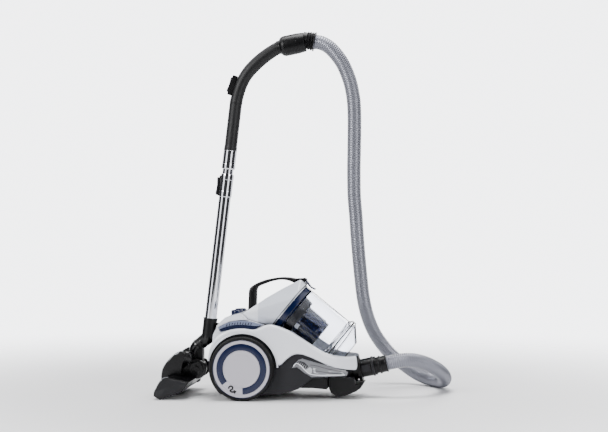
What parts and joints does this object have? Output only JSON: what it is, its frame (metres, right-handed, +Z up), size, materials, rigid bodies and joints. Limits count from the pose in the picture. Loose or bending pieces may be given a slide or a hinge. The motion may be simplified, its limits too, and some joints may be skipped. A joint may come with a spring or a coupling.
{
  "type": "canister vacuum cleaner",
  "caption": "Bagless cylinder vacuum cleaner with a clear dust bin, large rear wheels, a ribbed hose and its telescopic wand parked upright.",
  "frame": {"origin": "on the floor, under the middle of the object's box without its hose", "axes": "+X towards the front where the hose plugs in, +Y to the left of the wand's plane as seen facing +X, +Z up"},
  "size_m": [0.8219, 0.4684, 1.0391],
  "materials": {
    "white_shell": "glossy moulded white",
    "charcoal": "satin dark grey moulded",
    "black_plastic": "satin black moulded",
    "navy_plastic": "glossy navy",
    "navy_clear": "tinted navy, slightly see-through",
    "clear": "clear polycarbonate",
    "smoke_clear": "smoky see-through",
    "dark_mesh": "dark grid",
    "disc_grey": "light grey with a faint pearl",
    "tyre_rubber": "soft black rubber",
    "roller_rubber": "grey rubber",
    "chrome": "mirror chrome",
    "steel": "bright steel",
    "inner_plastic": "plain moulded grey",
    "filter_foam": "open foam",
    "board_green": "coated board",
    "bristle": "stiff bristle",
    "hose_grey": "silver-grey ribbed plastic"
  },
  "bodies": {
    "vacuum": {"chassis": "charcoal", "undertray": "black_plastic", "side_shell_left": "white_shell", "side_shell_right": "white_shell", "rear_cover": "white_shell", "park_socket": "black_plastic", "exhaust_grille_left": "navy_clear", "exhaust_grille_right": "navy_clear", "exhaust_filter": "filter_foam", "motor_housing": "inner_plastic", "motor_mounts": "roller_rubber", "reel_bracket": "inner_plastic", "circuit_board": "board_green", "pre_motor_filter": "filter_foam", "intake_duct": "dark_mesh", "duct_windows": "smoke_clear", "hose_socket": "black_plastic", "front_bumper": "black_plastic", "cord_gland": "black_plastic", "wheel_axles": "steel", "cover_screws": "steel", "hose_connector": "black_plastic", "hose_lower": "hose_grey"},
    "motor_rotor": {"motor_rotor": "steel"},
    "cable_reel": {"cable_reel": "inner_plastic"},
    "power_button": {"power_button": "navy_plastic"},
    "rewind_button": {"rewind_button": "navy_plastic"},
    "wheel_left": {"tyre_left": "tyre_rubber", "wheel_disc_left": "disc_grey", "wheel_ring_left": "navy_plastic"},
    "wheel_right": {"tyre_right": "tyre_rubber", "wheel_disc_right": "disc_grey", "wheel_ring_right": "navy_plastic"},
    "caster_fork": {"caster_fork": "charcoal"},
    "caster_wheel": {"caster_wheel": "roller_rubber"},
    "bin": {"bin_hood": "white_shell", "carry_handle": "black_plastic", "bin_cup": "clear", "bin_collar": "navy_plastic", "cyclone": "navy_clear", "cyclone_shroud": "dark_mesh"},
    "bin_latch": {"bin_latch": "navy_plastic"},
    "bin_flap": {"bin_flap": "clear"},
    "connector_button": {"connector_button": "charcoal"},
    "hose_cuff_lower": {"hose_cuff_lower": "black_plastic"},
    "wand": {"wand_neck": "black_plastic", "wand_tube": "chrome", "wand_sleeve": "chrome"},
    "sleeve_catch": {"sleeve_catch": "charcoal"},
    "grip": {"upper_tube": "chrome", "grip": "black_plastic", "hose_upper": "hose_grey"},
    "air_slider": {"air_slider": "charcoal"},
    "hose_cuff_upper": {"hose_cuff_upper": "black_plastic"},
    "head": {"head_body": "black_plastic", "head_cover": "black_plastic", "head_sole": "steel"},
    "head_pedal": {"head_pedal": "charcoal"},
    "head_brushes": {"head_brushes": "bristle"},
    "head_rollers": {"head_rollers": "roller_rubber"}
  },
  "joints": [
    {"name": "wheel_left_spin", "type": "hinge", "parent": "vacuum", "child": "wheel_left", "pos_m": [-0.0755, 0, 0.089], "axis": [0, 1, 0], "continuous": true},
    {"name": "wheel_right_spin", "type": "hinge", "parent": "vacuum", "child": "wheel_right", "pos_m": [-0.0755, 0, 0.089], "axis": [0, 1, 0], "continuous": true},
    {"name": "caster_swivel", "type": "hinge", "parent": "vacuum", "child": "caster_fork", "pos_m": [0.19, 0, 0], "axis": [0, 0, 1], "continuous": true},
    {"name": "caster_spin", "type": "hinge", "parent": "caster_fork", "child": "caster_wheel", "pos_m": [0.182, 0, 0.014], "axis": [0, 1, 0], "continuous": true},
    {"name": "motor_spin", "type": "hinge", "parent": "vacuum", "child": "motor_rotor", "pos_m": [-0.085, 0, 0.105], "axis": [0, 1, 0], "continuous": true},
    {"name": "reel_spin", "type": "hinge", "parent": "vacuum", "child": "cable_reel", "pos_m": [-0.085, 0, 0.105], "axis": [0, 1, 0], "continuous": true},
    {"name": "power_press", "type": "slide", "parent": "vacuum", "child": "power_button", "axis": [0.0349, 0, -0.9994], "range_m": [0, 0.004], "stiffness_N_per_m": 300},
    {"name": "rewind_press", "type": "slide", "parent": "vacuum", "child": "rewind_button", "axis": [0.0349, 0, -0.9994], "range_m": [0, 0.004], "stiffness_N_per_m": 300},
    {"name": "bin_lift", "type": "slide", "parent": "vacuum", "child": "bin", "axis": [0, 0, 1], "range_m": [0, 0.15]},
    {"name": "latch_tilt", "type": "hinge", "parent": "bin", "child": "bin_latch", "pos_m": [0.087, 0, 0.3315], "axis": [0, -1, 0], "range_deg": [0, 20], "stiffness_Nm_per_rad": 0.3},
    {"name": "flap_open", "type": "hinge", "parent": "bin", "child": "bin_flap", "pos_m": [0.11167, 0, 0.06853], "axis": [0, 1, 0], "range_deg": [0, 60]},
    {"name": "release_press", "type": "slide", "parent": "vacuum", "child": "connector_button", "axis": [0, 1, 0], "range_m": [0, 0.002], "stiffness_N_per_m": 300},
    {"name": "lower_cuff_turn", "type": "hinge", "parent": "vacuum", "child": "hose_cuff_lower", "pos_m": [0.31869, 0, 0.09626], "axis": [0.9781, 0, 0.2079], "continuous": true},
    {"name": "park_lift", "type": "slide", "parent": "vacuum", "child": "wand", "axis": [0, 0, 1], "range_m": [0, 0.05]},
    {"name": "catch_slide", "type": "slide", "parent": "wand", "child": "sleeve_catch", "axis": [-0.1184, 0, -0.993], "range_m": [0, 0.006], "stiffness_N_per_m": 300},
    {"name": "telescope", "type": "slide", "parent": "wand", "child": "grip", "axis": [0.1184, 0, 0.993], "range_m": [0, 0.3]},
    {"name": "air_slide", "type": "slide", "parent": "grip", "child": "air_slider", "axis": [0.309, 0, 0.9511], "range_m": [0, 0.012]},
    {"name": "upper_cuff_turn", "type": "hinge", "parent": "grip", "child": "hose_cuff_upper", "pos_m": [0.112, 0, 1.0085], "axis": [0.9781, 0, -0.2079], "continuous": true},
    {"name": "head_tilt", "type": "hinge", "parent": "wand", "child": "head", "pos_m": [-0.22276, 0, 0.07606], "axis": [0, 1, 0], "range_deg": [0, 27]},
    {"name": "pedal_rock", "type": "hinge", "parent": "head", "child": "head_pedal", "pos_m": [-0.30041, 0, 0.05844], "axis": [0, 1, 0], "range_deg": [0, 8]},
    {"name": "brush_drop", "type": "slide", "parent": "head", "child": "head_brushes", "axis": [0.342, 0, -0.9397], "range_m": [0, 0.003]},
    {"name": "roller_spin", "type": "hinge", "parent": "head", "child": "head_rollers", "pos_m": [-0.24469, 0, 0.03105], "axis": [0, 1, 0], "continuous": true}
  ],
  "couplings": [
    {"joint": "flap_open", "follows": "bin_lift", "rad_per_m": 6.9},
    {"joint": "brush_drop", "follows": "pedal_rock", "m_per_rad": 0.0212}
  ]
}
